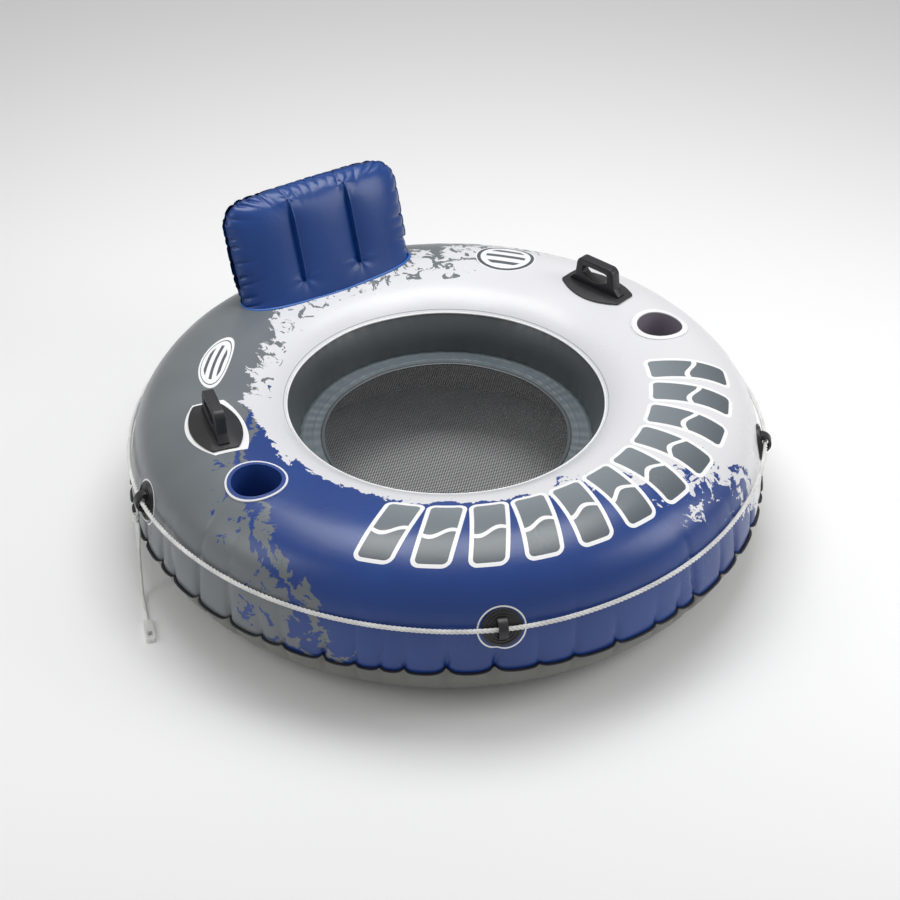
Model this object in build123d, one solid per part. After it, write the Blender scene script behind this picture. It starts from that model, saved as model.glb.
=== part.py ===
# Towable river tube: an inflated ring with a mesh seat, a leaning backrest, two grab handles, two cup
# holders and a grab rope that runs right round it through five moulded connectors.
#
# Frame: +Z up, -Y the rider's feet, +Y the backrest. The origin is on the ground under the ring's centre.
# Places round the ring are angles from -Y, counter-clockwise seen from above, so +X is 90 degrees.
import os
from math import asin, cos, degrees, pi, radians, sin, sqrt, tan

from build123d import *

# ---- driving dimensions, mm ---------------------------------------------------------------------------
outer_radius = 675.0        # a 53 inch ring
skin = 2.5                  # stored wall; the real film is about 0.5
segments = 16               # every ring skin is stored as this many equal segments that touch

crown_radius = 512.0        # where the top of the ring is
crown_height = 328.0
crown_outer_arc = (200.0, 28.0)      # (radius, degrees) of the arcs that run outwards from the crown
shoulder_arc = (105.0, 42.0)
crown_inner_arc = (450.0, 14.0)      # and of the one that runs inwards
lip_radius = 338.0          # the weld between the top skin and the inner wall
lip_height = 277.0
band_outer_radius = 313.0   # where the inner wall, the underside and the mesh floor's band meet
band_height = 187.0
mesh_radius = 265.0
seam_height = 115.0         # the weld between the top skin and the underside, round the outside
seam_width = 8.0
seam_thickness = 2.4
mesh_thickness = 2.4
band_overlap = 4.0          # how far the band runs over the foot of the inner wall
hem_inwards = 5.0           # how far the hem lies over the mesh, and over the band
hem_outwards = 4.0
hem_thickness = 1.6
bead_radius = 2.2
bead_clear = (-1.6, 1.9)    # (outwards, up) from the lip to the bead's centre

bulkhead_angles = (20.0, 204.0)      # the two walls that split the ring into two air chambers
bulkhead_gap = 0.4          # keeps their edges off the skins

connector_angles = (-99.5, -25.0, 49.5, 120.0, 190.0)
connector_height = 215.0
connector_disc_radius = 39.0
connector_ring_radii = (35.0, 29.0, 23.0)
connector_ring_width = 2.4
connector_disc_thickness = 3.5
connector_ring_top = 5.0    # over the ring's skin
loop_length = 18.0          # along the rope
loop_height = 46.0
loop_stand_off = 24.0
loop_wall = 5.0

rope_diameter = 9.5
rope_at_connector = 684.3   # radius that its route tends to at a connector; the line itself passes at 677
rope_between = 672.5        # and halfway to the next one
rope_height = 219.0
rope_points = 7             # route points from one connector to the next

handle_angles = {"left": -103.0, "right": 103.0}
handle_radius = 500.0
patch_length = 165.0
patch_width = 105.0
patch_end_width = 52.0
patch_thickness = 4.0
patch_corner = 9.0
grip_length = 112.0
grip_height = 66.0
grip_width = 23.0
grip_corner = 16.0
grip_foot_flare = 14.0      # how far each foot runs past the leg over it
grip_shoulder = 20.0        # height at which a leg leaves its foot
grip_taper = 6.0
window_length = 72.0
window_low = 18.0           # over the crown, at the middle of the curved web
window_high = 50.0
window_end_low = 32.0       # the web is this high at the window's ends
window_corner = 7.0

cup_angles = {"left": -80.0, "right": 80.0}
cup_radius_on_ring = 513.0
cup_radius = 50.0
cup_depth = 95.0
cup_rim_width = 12.0

back_base = (498.0, 325.0)  # (y, z) of the weld plane's lower end; sizes from here up run along the lean
back_lean = 17.0            # degrees
back_half_width = 214.0
back_half_width_wide = 218.0
back_wide_at = 150.0
back_top = 234.0
back_corner = 58.0
back_crest = 3.0            # how far the top edge arches
back_front_bulge = 62.0     # in front of the plane of the weld between its front and back panels
back_rear_bulge = 48.0
back_plan_corner = 44.0
back_shoulder = 72.0        # the panels start to close over the top this far below it
back_bow_excess = 1.5       # the plan is this much deeper than the side view, so no two faces coincide
back_blunt = 12.0           # how far the plan and side view run past the outline, so its edge is blunt
back_low = -80.0            # the drawing runs on below the ring's skin to here
back_floor = 342.0          # height at which the air space starts, over the solid weld foot
back_foot = 332.5           # height of its level foot
back_hinge = (0.0, 530.0, 330.0)     # it leans about this line, which runs along X
back_web_x = 72.0
back_web_span = (24.0, 212.0)
back_edge_width = 6.0
back_edge_thickness = 2.4
back_weld_width = 9.0

valve_angles = {"left": 151.0, "right": 211.0}
valve_height = 165.0
valve_flange_radius = 27.0
valve_seat_radius = 13.0
valve_seat_height = 6.0
valve_bore = 8.0
valve_back_at = 112.0       # up the back of the backrest, along its lean
valve_flange_thickness = 2.0
flap_height = 2.6
flap_thickness = 1.2
cap_hinge_offset = 21.0
cap_low = 3.0               # the cap's rim, over the flange's plane
cap_height = 6.0
cap_wall = 2.2
cap_play = 1.4
cap_strap_width = 9.0
cap_strap_thickness = 2.4
cap_knuckle_radius = 1.9

tail_diameter = 6.0
knot_radius = 9.0
knot_height = 19.0
clip_length = 62.0
clip_width = 19.0
clip_height = 9.0

# ---- the ring's section: tangent arcs from the crown outwards and back to it -----------------------------
crown = (crown_radius, crown_height)
crown_outer = JernArc(start=crown, tangent=(1, 0), radius=crown_outer_arc[0], arc_size=-crown_outer_arc[1])
shoulder = JernArc(start=crown_outer @ 1, tangent=crown_outer % 1, radius=shoulder_arc[0],
                   arc_size=-shoulder_arc[1])
side_start = shoulder @ 1
side_turn = 90.0 - crown_outer_arc[1] - shoulder_arc[1]
side_radius = (outer_radius - side_start.X) / (1 - cos(radians(side_turn)))
side = JernArc(start=side_start, tangent=shoulder % 1, radius=side_radius, arc_size=-side_turn)
equator_height = (side @ 1).Y
lower_outer = JernArc(start=side @ 1, tangent=(0, -1), radius=equator_height, arc_size=-90)
flat_outer_radius = outer_radius - equator_height
flat_inner_radius = band_outer_radius + band_height
flat = Line((flat_outer_radius, 0), (flat_inner_radius, 0))
lower_inner = JernArc(start=(flat_inner_radius, 0), tangent=(-1, 0), radius=band_height, arc_size=-90)
wall = TangentArc((band_outer_radius, band_height), (lip_radius, lip_height), tangent=(0, 1))
crown_inner = JernArc(start=crown, tangent=(-1, 0), radius=crown_inner_arc[0], arc_size=crown_inner_arc[1])
lip = TangentArc(crown_inner @ 1, (lip_radius, lip_height), tangent=crown_inner % 1)
outline = make_face([crown_outer, shoulder, side, lower_outer, flat, lower_inner, wall, lip, crown_inner])

far = 2000.0


def revolved(section, degrees_round=360.0):
    """A section drawn as (radius, height), turned about the ring's axis."""
    return revolve(Plane.XZ * section, axis=Axis.Z, revolution_arc=degrees_round)


def segmented(section):
    """The same ring as equal segments that touch at their ends."""
    step = 360.0 / segments
    first = revolved(section, step)
    return [Rot(0, 0, step * number) * first for number in range(segments)]


def rectangle(low, high):
    """A section with its corners at two (radius, height) points."""
    return Pos((low[0] + high[0]) / 2, (low[1] + high[1]) / 2) * Rectangle(high[0] - low[0], high[1] - low[1])


def direction(angle):
    return Vector(sin(radians(angle)), -cos(radians(angle)), 0)


def place(angle, radius, height):
    """A point of the row frame from its place round the ring."""
    return direction(angle) * radius + Vector(0, 0, height)


def side_plane(angle, height):
    """A plane on the ring's side: x along the ring, y up its skin and z outwards."""
    tilt = degrees(asin((height - equator_height) / side_radius))
    radius = outer_radius - side_radius * (1 - cos(radians(tilt)))
    outwards = direction(angle) * cos(radians(tilt)) + Vector(0, 0, sin(radians(tilt)))
    along = Vector(cos(radians(angle)), sin(radians(angle)), 0)
    return Plane(origin=place(angle, radius, height), x_dir=along, z_dir=outwards)


def top_plane(angle, radius):
    """A level plane at the crown's height: x along the ring, y towards its axis."""
    along = Vector(cos(radians(angle)), sin(radians(angle)), 0)
    return Plane(origin=place(angle, radius, crown_height), x_dir=along, z_dir=(0, 0, 1))


def grown(amount):
    """The ring's solid with its skin moved outwards by an amount."""
    return revolved(offset(outline, amount=amount))


ring = revolved(outline)
nodes = {}


# ---- the ring's skins ------------------------------------------------------------------------------------
def holds_angle(piece, angle):
    """Whether a segment of the ring is the one that an angle falls in."""
    middle = piece.center()
    return Vector(middle.X, middle.Y, 0).get_angle(direction(angle)) < 180.0 / segments


def ring_skins():
    shell = outline - offset(outline, amount=-skin)
    below_seam = rectangle((flat_inner_radius, -far), (far, seam_height))
    below_band = rectangle((0, -far), (flat_inner_radius, band_height))
    lip_line = wall % 1
    lip_cut = Pos(lip_radius, lip_height) * Rot(0, 0, degrees(asin(lip_line.Y)) - 90)
    lip_side = rectangle((0, band_height), (crown_radius, far))
    over_lip = lip_cut * rectangle((-far, 0), (far, far))
    nodes["bottom_panel"] = segmented(shell & (below_seam + below_band))
    nodes["inner_wall"] = segmented((shell & lip_side) - over_lip)
    top = segmented(shell - below_seam - below_band - (lip_side - over_lip))
    for angle in cup_angles.values():
        hole = top_plane(angle, cup_radius_on_ring) * Cylinder(cup_radius + skin, 4 * cup_depth)
        top = [piece - hole for piece in top]
    for name, angle in cup_angles.items():
        nodes[f"top_panel_cup_{name}"] = [piece for piece in top if holds_angle(piece, angle)]
        top = [piece for piece in top if not holds_angle(piece, angle)]
    nodes["top_panel"] = top


def welds():
    seam_radius = flat_outer_radius + sqrt(equator_height ** 2 - (equator_height - seam_height) ** 2)
    flange = rectangle((seam_radius - 3, seam_height - seam_thickness / 2),
                       (seam_radius + seam_width, seam_height + seam_thickness / 2))
    nodes["outer_seam"] = revolved(flange - outline)
    lip_bead = Pos(lip_radius + bead_clear[0], lip_height + bead_clear[1]) * Circle(bead_radius)
    nodes["lip_weld"] = revolved(lip_bead)


def mesh_seat():
    band_low = band_height - mesh_thickness / 2
    band_high = band_low + mesh_thickness
    band = rectangle((mesh_radius, band_low), (band_outer_radius + band_overlap, band_high))
    nodes["mesh_band"] = revolved(band - outline)
    floor = Pos(0, 0, band_height) * Cylinder(mesh_radius, mesh_thickness)
    nodes["mesh_floor"] = floor
    hem = rectangle((mesh_radius - hem_inwards, band_high),
                    (mesh_radius + hem_outwards, band_high + hem_thickness))
    nodes["mesh_hem"] = revolved(hem)


def bulkheads():
    inside = offset(outline, amount=-skin - bulkhead_gap)
    for name, angle in zip(("front", "rear"), bulkhead_angles):
        upright = Plane(origin=(0, 0, 0), x_dir=direction(angle), z_dir=direction(angle - 90))
        nodes[f"bulkhead_{name}"] = extrude(upright * inside, amount=skin / 2, both=True)


# ---- fittings on the crown -------------------------------------------------------------------------------
def layer(shape, low, high):
    """What of a shape lies between two heights over the ring's skin."""
    return (shape & grown(high)) - (ring if low == 0 else grown(low))


def largest(shape):
    return max(shape.solids(), key=lambda solid: solid.volume)


def cup_holders():
    for name, angle in cup_angles.items():
        base = top_plane(angle, cup_radius_on_ring)
        pocket = Pos(0, 0, (20 - cup_depth) / 2) * Cylinder(cup_radius + skin, cup_depth + 20)
        hollow = Cylinder(cup_radius, 4 * cup_depth)
        floor = Pos(0, 0, skin / 2 - cup_depth) * Cylinder(cup_radius, skin)
        rim = Cylinder(cup_radius + cup_rim_width, 60) - Cylinder(cup_radius, 60)
        nodes[f"cup_pocket_{name}"] = (base * (pocket - hollow)) & ring
        nodes[f"cup_floor_{name}"] = base * floor
        nodes[f"cup_rim_{name}"] = largest(layer(base * rim, 0, skin))


def patch_outline():
    """A barrel with short straight ends."""
    half, wide, end = patch_length / 2, patch_width / 2, patch_end_width / 2
    upper = ThreePointArc((-half, end), (0, wide), (half, end))
    right = Line((half, end), (half, -end))
    lower = ThreePointArc((half, -end), (0, -wide), (-half, -end))
    left = Line((-half, -end), (-half, end))
    return fillet(make_face([upper, right, lower, left]).vertices(), patch_corner)


def grip_outline():
    """The grip seen along the ring's radius: flared feet, slanting legs and a window over a curved web."""
    leg, top = grip_length / 2, grip_length / 2 - grip_taper
    foot, foot_low, foot_high = leg + grip_foot_flare, -grip_shoulder, grip_shoulder - 13
    right_side = [(foot, foot_low), (foot, foot_high), (leg, grip_shoulder), (top, grip_height)]
    left_side = [(-across, up) for across, up in reversed(right_side)]
    body = Polyline(*right_side, *left_side, close=True)
    shape = make_face(body)
    high = [vertex for vertex in shape.vertices() if vertex.Y > grip_height - 1]
    shape = fillet(high, grip_corner)
    low_half, high_half = window_length / 2, window_length / 2 - 2
    sill = ThreePointArc((-low_half, window_end_low), (0, window_low), (low_half, window_end_low))
    right = Line((low_half, window_end_low), (high_half, window_high))
    head = Line((high_half, window_high), (-high_half, window_high))
    left = Line((-high_half, window_high), (-low_half, window_end_low))
    window = make_face([sill, right, head, left])
    return shape - fillet(window.vertices(), window_corner)


def handles():
    for name, angle in handle_angles.items():
        base = top_plane(angle, handle_radius)
        blank = base * extrude(patch_outline(), amount=60, both=True)
        nodes[f"handle_patch_{name}"] = largest(layer(blank, 0, patch_thickness))
        upright = Plane(origin=base.origin, x_dir=base.x_dir, z_dir=base.y_dir * -1)
        grip = extrude(upright * grip_outline(), amount=grip_width / 2, both=True)
        nodes[f"handle_grip_{name}"] = largest(grip - grown(patch_thickness))


# ---- rope connectors and the rope ------------------------------------------------------------------------
def loop_outline():
    """A connector's loop seen along the rope: a blunt nose over an opening that the rope runs through."""
    half = loop_height / 2
    outer = make_face([Line((-half, -8), (half, -8)), Line((half, -8), (half, 2)),
                       TangentArc((half, 2), (0, loop_stand_off), tangent=(0, 1)),
                       TangentArc((0, loop_stand_off), (-half, 2), tangent=(-1, 0)),
                       Line((-half, 2), (-half, -8))])
    inner = Pos(0, 11.5) * RectangleRounded(loop_height - 4.6 * loop_wall, 13.0, 6.0)
    return outer - inner


def connectors():
    for number, angle in enumerate(connector_angles, 1):
        base = side_plane(angle, connector_height)
        disc = layer(base * Cylinder(connector_disc_radius, 40), 0, connector_disc_thickness)
        for radius in connector_ring_radii:
            ridge = base * (Cylinder(radius, 40) - Cylinder(radius - connector_ring_width, 40))
            disc = disc + layer(ridge, connector_disc_thickness, connector_ring_top)
        nodes[f"connector_disc_{number}"] = largest(disc)
        across = Plane(origin=base.origin, x_dir=base.y_dir, z_dir=base.x_dir)
        loop = extrude(across * loop_outline(), amount=loop_length / 2, both=True)
        inner_ridge = base * (Cylinder(connector_ring_radii[-1], 10.0) - Cylinder(8.0, 10.0))
        clear = grown(connector_disc_thickness) + inner_ridge
        nodes[f"connector_loop_{number}"] = largest(loop - clear)


def rope_route():
    """Points of the rope's closed line: it stands off the ring at each connector and lies in between."""
    points = []
    turns = list(connector_angles) + [connector_angles[0] + 360.0]
    for start, end in zip(turns, turns[1:]):
        for step in range(rope_points):
            share = (step + 0.5) / rope_points
            near = abs(2 * share - 1) ** 3
            radius = rope_between + (rope_at_connector - rope_between) * near
            points.append(place(start + (end - start) * share, radius, rope_height))
    return points


def corner_radii(points, closed=False):
    """0.45 of the shorter run, over the tangent of half the turn, at each corner."""
    radii = []
    count = len(points)
    for index in range(count) if closed else range(1, count - 1):
        before = points[index] - points[index - 1]
        after = points[(index + 1) % count] - points[index]
        turn = before.get_angle(after)
        radii.append(0.45 * min(before.length, after.length) / tan(radians(turn / 2)))
    return radii


def tube_along(path, diameter):
    start = Plane(origin=path @ 0, z_dir=path % 0)
    return sweep(start * Circle(diameter / 2), path=path)


def grab_rope():
    points = rope_route()
    radii = corner_radii(points, closed=True)
    path = FilletPolyline(*points, radius=radii, close=True)
    print("grab rope radii, mm:", round(min(radii)), "to", round(max(radii)))
    rope = tube_along(path, rope_diameter)
    print("grab rope volume over section times length:",
          round(rope.volume / (path.length * pi * rope_diameter ** 2 / 4), 4))
    nodes["grab_rope"] = rope


# The tail's route, by hand: down from the knot under the first connector, then over the ground.
tail_route = [
    Vector(-681, 114, 172),
    Vector(-681, 114, 148),
    Vector(-683, 113, 121),
    Vector(-684, 112, 93),
    Vector(-687, 109, 65),
    Vector(-690, 104, 38),
    Vector(-695, 94, 17),
    Vector(-703, 76, 6),
    Vector(-711, 52, 3.8),
    Vector(-720, 27, 3.6),
    Vector(-728, 4, 3.6),
]


def rope_tail():
    radii = corner_radii(tail_route)
    print("rope tail radii, mm:", [round(radius) for radius in radii])
    path = FilletPolyline(*tail_route, radius=radii)
    tail = tube_along(path, tail_diameter)
    print("rope tail length, mm:", round(path.length), "volume ratio:",
          round(tail.volume / (path.length * pi * tail_diameter ** 2 / 4), 4))
    nodes["rope_tail"] = tail
    knot = fillet(Cylinder(knot_radius, knot_height).edges(), 5.0)
    nodes["tail_knot"] = Pos(tail_route[0] + Vector(0, 0, knot_height / 2)) * knot
    run = (tail_route[-1] - tail_route[-2]).normalized()
    run = Vector(run.X, run.Y, 0).normalized()
    centre = tail_route[-1] + run * (clip_length / 2)
    clip = Box(clip_length, clip_width, clip_height)
    clip = fillet(clip.edges().filter_by(Axis.Z), 5.0)
    slot = Pos(clip_length / 4, 0, 0) * Box(clip_length / 3, clip_width / 2, 2 * clip_height)
    level = Plane(origin=Vector(centre.X, centre.Y, clip_height / 2 + 0.2), x_dir=run, z_dir=(0, 0, 1))
    nodes["tail_clip"] = level * (clip - slot)


# ---- backrest --------------------------------------------------------------------------------------------
lean = radians(back_lean)
leaning = Plane(origin=(0, *back_base), x_dir=(1, 0, 0), z_dir=(0, sin(lean), cos(lean)))


def back_front_view(inset=0.0):
    """The cushion from the front: nearly straight sides, rounded top corners and a slightly arched crest."""
    base, wide, top = back_half_width - inset, back_half_width_wide - inset, back_top - inset
    right = Line((base, back_low), (wide, back_wide_at))
    upper_right = Line((wide, back_wide_at), (wide, top - back_crest))
    crest = ThreePointArc((wide, top - back_crest), (0, top), (-wide, top - back_crest))
    upper_left = Line((-wide, top - back_crest), (-wide, back_wide_at))
    left = Line((-wide, back_wide_at), (-base, back_low))
    bottom = Line((-base, back_low), (base, back_low))
    shape = make_face([right, upper_right, crest, upper_left, left, bottom])
    top_corners = [vertex for vertex in shape.vertices() if vertex.Y > back_wide_at + 1]
    return fillet(top_corners, back_corner - inset)


def back_plan(inset=0.0, blunt=back_blunt):
    """The cushion along its lean: a box with rounded corners, deeper in front of the weld plane."""
    half = back_half_width_wide + blunt - inset
    front = back_front_bulge + back_bow_excess - inset
    rear = back_rear_bulge + back_bow_excess - inset
    shape = Pos(0, (rear - front) / 2) * Rectangle(2 * half, front + rear)
    return fillet(shape.vertices(), back_plan_corner - inset)


def back_side_view(inset=0.0):
    """The cushion from the side: straight panels that close over the top."""
    bend, top = back_top - back_shoulder, back_top + back_blunt - inset
    front, rear = -back_front_bulge + inset, back_rear_bulge - inset
    ahead = Line((front, back_low), (front, bend))
    over_front = TangentArc((front, bend), (0, top), tangent=(0, 1))
    over_rear = TangentArc((rear, bend), (0, top), tangent=(0, 1))
    behind = Line((rear, bend), (rear, back_low))
    under = Line((rear, back_low), (front, back_low))
    return make_face([ahead, over_front, over_rear, behind, under])


def cushion(inset=0.0):
    front_plane = Plane(origin=(0, 0, 0), x_dir=(1, 0, 0), z_dir=(0, -1, 0))
    side_view_plane = Plane(origin=(0, 0, 0), x_dir=(0, 1, 0), z_dir=(1, 0, 0))
    front = extrude(front_plane * back_front_view(inset), amount=far, both=True)
    plan = extrude(back_plan(inset), amount=far, both=True)
    across = extrude(side_view_plane * back_side_view(inset), amount=far, both=True)
    return leaning * (front & plan & across)


def backrest():
    """Two welded panels over a level foot, which leaves room behind the hinge line for the lean."""
    print("backrest hinge line through, mm:", back_hinge)
    above_foot = Pos(0, 0, back_foot + far / 2) * Box(far, far, far)
    above_floor = Pos(0, 0, back_floor + far / 2) * Box(far, far, far)
    inner = cushion(skin) & above_floor
    shell = (cushion() & above_foot) - inner
    ahead = leaning * (Pos(0, -far / 2, 0) * Box(far, far, 2 * far))
    nodes["backrest_front"] = largest(shell & ahead)
    nodes["backrest_rear"] = largest(shell - ahead)
    low, high = back_web_span
    for name, side_of in (("left", -1), ("right", 1)):
        web = leaning * (Pos(side_of * back_web_x, 0, (low + high) / 2) * Box(skin, 400, high - low))
        nodes[f"backrest_web_{name}"] = web & inner
    front_plane = Plane(origin=(0, 0, 0), x_dir=(1, 0, 0), z_dir=(0, -1, 0))
    rim = offset(back_front_view(), amount=back_edge_width) - back_front_view()
    edge = extrude(front_plane * rim, amount=back_edge_thickness / 2, both=True)
    nodes["backrest_edge"] = largest((leaning * edge) & above_foot)
    footprint = leaning * extrude(back_plan(-back_weld_width, blunt=0.0), amount=far, both=True)
    above_side = Pos(0, 0, far / 2 + connector_height) * Box(far, far, far)
    nodes["backrest_base"] = largest(layer(footprint & above_side, 0, skin))


# ---- valves ----------------------------------------------------------------------------------------------
def valve(name, base, body):
    """A flange on a body's skin, a seat with a one-way flap in it, and a cap hinged on a strap."""
    outside = body(0.0)
    flange = ((base * Cylinder(valve_flange_radius, 24)) & body(valve_flange_thickness)) - outside
    neck = Cylinder(valve_seat_radius, valve_seat_height) - Cylinder(valve_bore, valve_seat_height)
    neck = base * Pos(0, 0, valve_seat_height / 2) * neck
    nodes[f"valve_seat_{name}"] = largest(flange + (neck - outside))
    nodes[f"valve_flap_{name}"] = base * Pos(0, 0, flap_height) * Cylinder(valve_bore, flap_thickness)
    hollow_radius = valve_seat_radius + cap_play
    middle = cap_low + cap_height / 2
    lid = Pos(0, 0, middle) * Cylinder(hollow_radius + cap_wall, cap_height)
    lid = lid - Pos(0, 0, cap_low + 1.6) * Cylinder(hollow_radius, cap_height - 2.4)
    strap_length = cap_hinge_offset - valve_seat_radius + 1
    strap = Box(cap_strap_width, strap_length, cap_strap_thickness)
    strap = Pos(0, valve_seat_radius + 1 + strap_length / 2, middle) * strap
    knuckle = Pos(0, cap_hinge_offset, middle) * Rot(0, 90, 0) * Cylinder(cap_knuckle_radius, cap_strap_width)
    pull = Pos(0, -valve_seat_radius - 5.5, cap_low + 4.6) * Box(8, 6, 1.8)
    nodes[f"valve_cap_{name}"] = largest(base * (lid + strap + knuckle + pull))
    hinge = base.from_local_coords(Vector(0, cap_hinge_offset, middle))
    print(f"valve {name}: hinge at", [round(value / 1000, 5) for value in tuple(hinge)],
          "opening axis", [round(-value, 5) for value in tuple(base.x_dir)])


def valves():
    for name, angle in valve_angles.items():
        valve(name, side_plane(angle, valve_height), lambda amount: grown(amount) if amount else ring)
    back_point = leaning.from_local_coords(Vector(0, back_rear_bulge, valve_back_at))
    base = Plane(origin=back_point, x_dir=(-1, 0, 0), z_dir=leaning.y_dir)
    valve("back", base, lambda amount: cushion(-amount))


ring_skins()
welds()
mesh_seat()
bulkheads()
cup_holders()
handles()
connectors()
grab_rope()
rope_tail()
backrest()
valves()

os.makedirs("parts", exist_ok=True)
for node, shape in nodes.items():
    solids = list(shape) if isinstance(shape, list) else shape.solids()
    export_step(Compound(children=[*solids]) if len(solids) > 1 else solids[0], f"parts/{node}.step")
print(len(nodes), "nodes")
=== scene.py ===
# %% [markdown]
# # A towable river tube
# The real thing is welded from a few sheets of printed PVC film and blown up: a ring made of a top sheet,
# an underside and an inner wall, a mesh seat, a backrest with three channels, and moulded fittings that a
# rope is threaded through. The CAD frame holds the sizes, the joints and the hard parts. Here each piece
# gets the shape that air, welds and gravity give it, and the finish of its own material.

# %% The frame and the helpers that every cell uses
from functools import partial
from math import atan2, cos, pi, radians, sin

import bmesh
import bpy
import numpy as np
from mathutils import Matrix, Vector


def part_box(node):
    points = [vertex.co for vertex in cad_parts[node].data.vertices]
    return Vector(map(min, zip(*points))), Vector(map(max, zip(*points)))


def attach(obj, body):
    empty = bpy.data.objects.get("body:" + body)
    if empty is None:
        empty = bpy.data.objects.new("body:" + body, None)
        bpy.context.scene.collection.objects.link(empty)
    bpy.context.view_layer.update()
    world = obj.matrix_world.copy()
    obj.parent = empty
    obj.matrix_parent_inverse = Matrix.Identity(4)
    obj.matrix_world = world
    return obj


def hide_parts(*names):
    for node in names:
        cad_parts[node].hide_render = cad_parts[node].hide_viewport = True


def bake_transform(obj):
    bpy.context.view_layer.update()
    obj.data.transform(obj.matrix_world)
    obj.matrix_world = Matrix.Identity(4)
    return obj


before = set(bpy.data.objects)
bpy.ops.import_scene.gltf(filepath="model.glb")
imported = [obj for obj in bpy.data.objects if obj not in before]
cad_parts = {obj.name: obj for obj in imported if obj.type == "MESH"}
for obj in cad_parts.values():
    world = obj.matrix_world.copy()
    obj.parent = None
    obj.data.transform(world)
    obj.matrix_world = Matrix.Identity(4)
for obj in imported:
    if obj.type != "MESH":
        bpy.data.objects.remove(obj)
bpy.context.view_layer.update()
MM = 0.001
rng = np.random.default_rng(53)
scene = bpy.context.scene


def linear(hex_colour):
    """An sRGB hex colour as the linear RGBA that a shader takes."""
    values = [int(hex_colour[i:i + 2], 16) / 255 for i in (1, 3, 5)]
    return (*[v / 12.92 if v <= 0.04045 else ((v + 0.055) / 1.055) ** 2.4 for v in values], 1.0)


SHORT = {"Math": "ShaderNodeMath", "VectorMath": "ShaderNodeVectorMath", "Noise": "ShaderNodeTexNoise",
         "MapRange": "ShaderNodeMapRange", "Mix": "ShaderNodeMix", "Bump": "ShaderNodeBump"}


def add(tree, kind, *values, sockets=None, **settings):
    """Adds a node, by a short name or Blender's own, and an ":OPERATION"; sets, fills or links the rest."""
    kind, _, operation = kind.partition(":")
    made = tree.nodes.new(SHORT.get(kind, kind))
    if operation:
        made.operation = operation
    for name, value in settings.items():
        setattr(made, name, value)
    for place, value in (dict(enumerate(values)) | (sockets or {})).items():
        if isinstance(value, bpy.types.Node):
            value = value.outputs[2 if value.bl_idname == SHORT["Mix"] else 0]
        if isinstance(value, bpy.types.NodeSocket):
            tree.links.new(value, made.inputs[place])
        elif value is not None:
            made.inputs[place].default_value = value
    return made


def mesh_object(name, vertices, faces, material=None, smooth=True):
    """A new object from lists of points and faces, in metres, with its place in its mesh."""
    mesh = bpy.data.meshes.new(name)
    mesh.from_pydata([tuple(map(float, v)) for v in vertices], [], [tuple(map(int, f)) for f in faces])
    mesh.polygons.foreach_set("use_smooth", [smooth] * len(mesh.polygons))
    made = bpy.data.objects.new(name, mesh)
    scene.collection.objects.link(made)
    if material:
        mesh.materials.append(material)
    return made


def place(angle, radius, height=0.0):
    """A point from its place round the ring: degrees from -Y, counter-clockwise seen from above."""
    return Vector((radius * sin(radians(angle)), -radius * cos(radians(angle)), height))


def faces_out(piece, merge=0.0):
    """Turns every face outwards, after points nearer than merge are made one."""
    shell = bmesh.new()
    shell.from_mesh(piece.data)
    if merge:
        bmesh.ops.remove_doubles(shell, verts=shell.verts, dist=merge)
    bmesh.ops.recalc_face_normals(shell, faces=shell.faces)
    shell.to_mesh(piece.data)
    shell.free()
    return piece


# %% [markdown]
# ## Camera, floor and light
# A long lens looks down at the ring from its front left. The floor is plain and pale. A big soft panel
# overhead and one from each side give the film its broad, soft highlights.

# %% Camera, floor and light
view_azimuth, view_elevation, view_distance = radians(-34.0), radians(36.33), 4.0
across = Vector((cos(view_azimuth), sin(view_azimuth), 0))
away = Vector((-sin(view_azimuth), cos(view_azimuth), 0))
aim = across * 0.008 + away * 0.053 + Vector((0, 0, 0.1))
back = -away * cos(view_elevation) + Vector((0, 0, sin(view_elevation)))
camera = bpy.data.objects.new("camera", bpy.data.cameras.new("camera"))
camera.location = aim + back * view_distance
camera.rotation_euler = back.to_track_quat("Z", "Y").to_euler()
camera.data.lens = 72.65
camera.data.sensor_width = 36.0
scene.collection.objects.link(camera)
scene.camera = camera

floor_material = bpy.data.materials.new("pale studio floor")
floor_material.use_nodes = True
floor_shader = floor_material.node_tree.nodes["Principled BSDF"]
floor_shader.inputs["Base Color"].default_value = linear("#F6F6F6")
floor_shader.inputs["Roughness"].default_value = 0.9
half = 12.0
floor = mesh_object("floor", [(-half, -half, 0), (half, -half, 0), (half, half, 0), (-half, half, 0)],
                    [(0, 1, 2, 3)], floor_material, smooth=False)

world = bpy.data.worlds.new("studio")
scene.world = world
world.use_nodes = True
world.node_tree.nodes["Background"].inputs["Color"].default_value = linear("#FFFFFF")
world.node_tree.nodes["Background"].inputs["Strength"].default_value = 0.42


def soft_panel(name, position, size, power):
    """An area light that faces the middle of the object."""
    light = bpy.data.lights.new(name, "AREA")
    light.shape = "RECTANGLE"
    light.size, light.size_y = size
    light.energy = power
    made = bpy.data.objects.new(name, light)
    made.location = position
    made.rotation_euler = (Vector(position) - Vector((0, 0, 0.2))).to_track_quat("Z", "Y").to_euler()
    scene.collection.objects.link(made)


soft_panel("overhead panel", back * 0.3 + away * 0.9 + Vector((0, 0, 2.6)), (2.2, 1.5), 50.0)
soft_panel("right panel", across * 2.6 - away * 0.4 + Vector((0, 0, 1.7)), (1.2, 1.6), 22.0)
soft_panel("left panel", -across * 2.4 - away * 1.0 + Vector((0, 0, 1.9)), (1.0, 1.6), 11.0)
scene.view_settings.view_transform = "Standard"

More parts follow.
